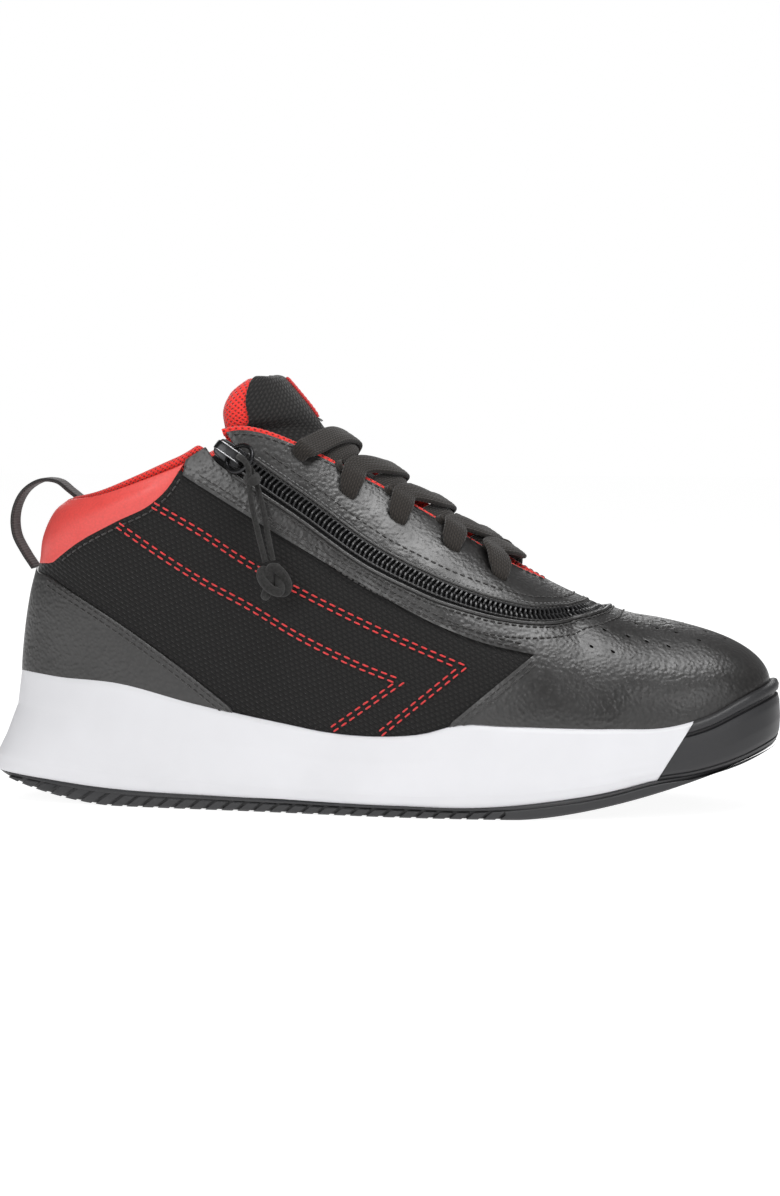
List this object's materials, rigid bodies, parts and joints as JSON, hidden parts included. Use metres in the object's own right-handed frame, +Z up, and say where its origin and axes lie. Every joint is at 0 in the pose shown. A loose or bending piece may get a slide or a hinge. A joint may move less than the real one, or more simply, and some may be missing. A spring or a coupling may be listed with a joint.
{
  "type": "basketball high top",
  "caption": "Right-foot basketball high top whose throat panel opens on a zip that wraps round the front of the tongue.",
  "frame": {"origin": "on the ground under the outsole's flat middle, halfway along the shoe", "axes": "+X towards the toe, -Y towards the lateral side, +Z up"},
  "size_m": [0.2507, 0.0897, 0.1371],
  "materials": {
    "rubber_grey": "matt moulded rubber",
    "midsole_white": "matt foam",
    "board": "stiffened non-woven",
    "foam_black": "brushed textile on foam",
    "mesh_red": "padded air mesh",
    "mesh_black": "woven mesh",
    "leather_red": "smooth matt leather",
    "leather_black": "pebbled satin leather",
    "tape_black": "woven zip tape",
    "chain_black": "coil zip teeth",
    "metal_grey": "dark plated zinc",
    "lace_black": "flat woven lace",
    "label_red": "woven label",
    "webbing_black": "ribbed webbing"
  },
  "bodies": {
    "shoe": {"outsole": "rubber_grey", "midsole": "midsole_white", "strobel_board": "board", "insole": "foam_black", "heel_stiffener": "board", "toe_puff": "board", "lining": "mesh_red", "collar_padding": "mesh_red", "collar_panel": "leather_red", "heel_overlay": "leather_black", "quarter_lateral": "mesh_black", "quarter_medial": "mesh_black", "vamp": "leather_black", "zip_tape_outer": "tape_black", "zip_chain_outer": "chain_black", "zip_stop": "metal_grey", "pull_loop": "webbing_black"},
    "throat_panel": {"eyestay": "leather_black", "eyestay_lining": "mesh_red", "zip_tape_inner": "tape_black", "zip_chain_inner": "chain_black", "tongue": "mesh_black", "tongue_lining": "mesh_red", "tongue_label": "label_red", "lace": "lace_black"},
    "zip_slider": {"zip_slider": "metal_grey"},
    "zip_ring": {"zip_ring": "metal_grey"},
    "zip_cord": {"zip_cord": "lace_black", "zip_knot": "lace_black"}
  },
  "joints": [
    {"name": "throat_fold", "type": "hinge", "parent": "shoe", "child": "throat_panel", "pos_m": [0.006, 0.0233, 0.0878], "axis": [-0.8981, 0.0734, 0.4335], "range_deg": [0, 100]},
    {"name": "zip_slide", "type": "slide", "parent": "shoe", "child": "zip_slider", "axis": [0.8241, 0.0273, -0.5658], "range_m": [0, 0.04]},
    {"name": "ring_swing", "type": "hinge", "parent": "zip_slider", "child": "zip_ring", "pos_m": [-0.04564, -0.03126, 0.11106], "axis": [-0.552, -0.2189, -0.8046], "range_deg": [0, 80]},
    {"name": "cord_swing", "type": "hinge", "parent": "zip_ring", "child": "zip_cord", "pos_m": [-0.03882, -0.03652, 0.10781], "axis": [-0.552, -0.2189, -0.8046], "range_deg": [0, 60]}
  ]
}
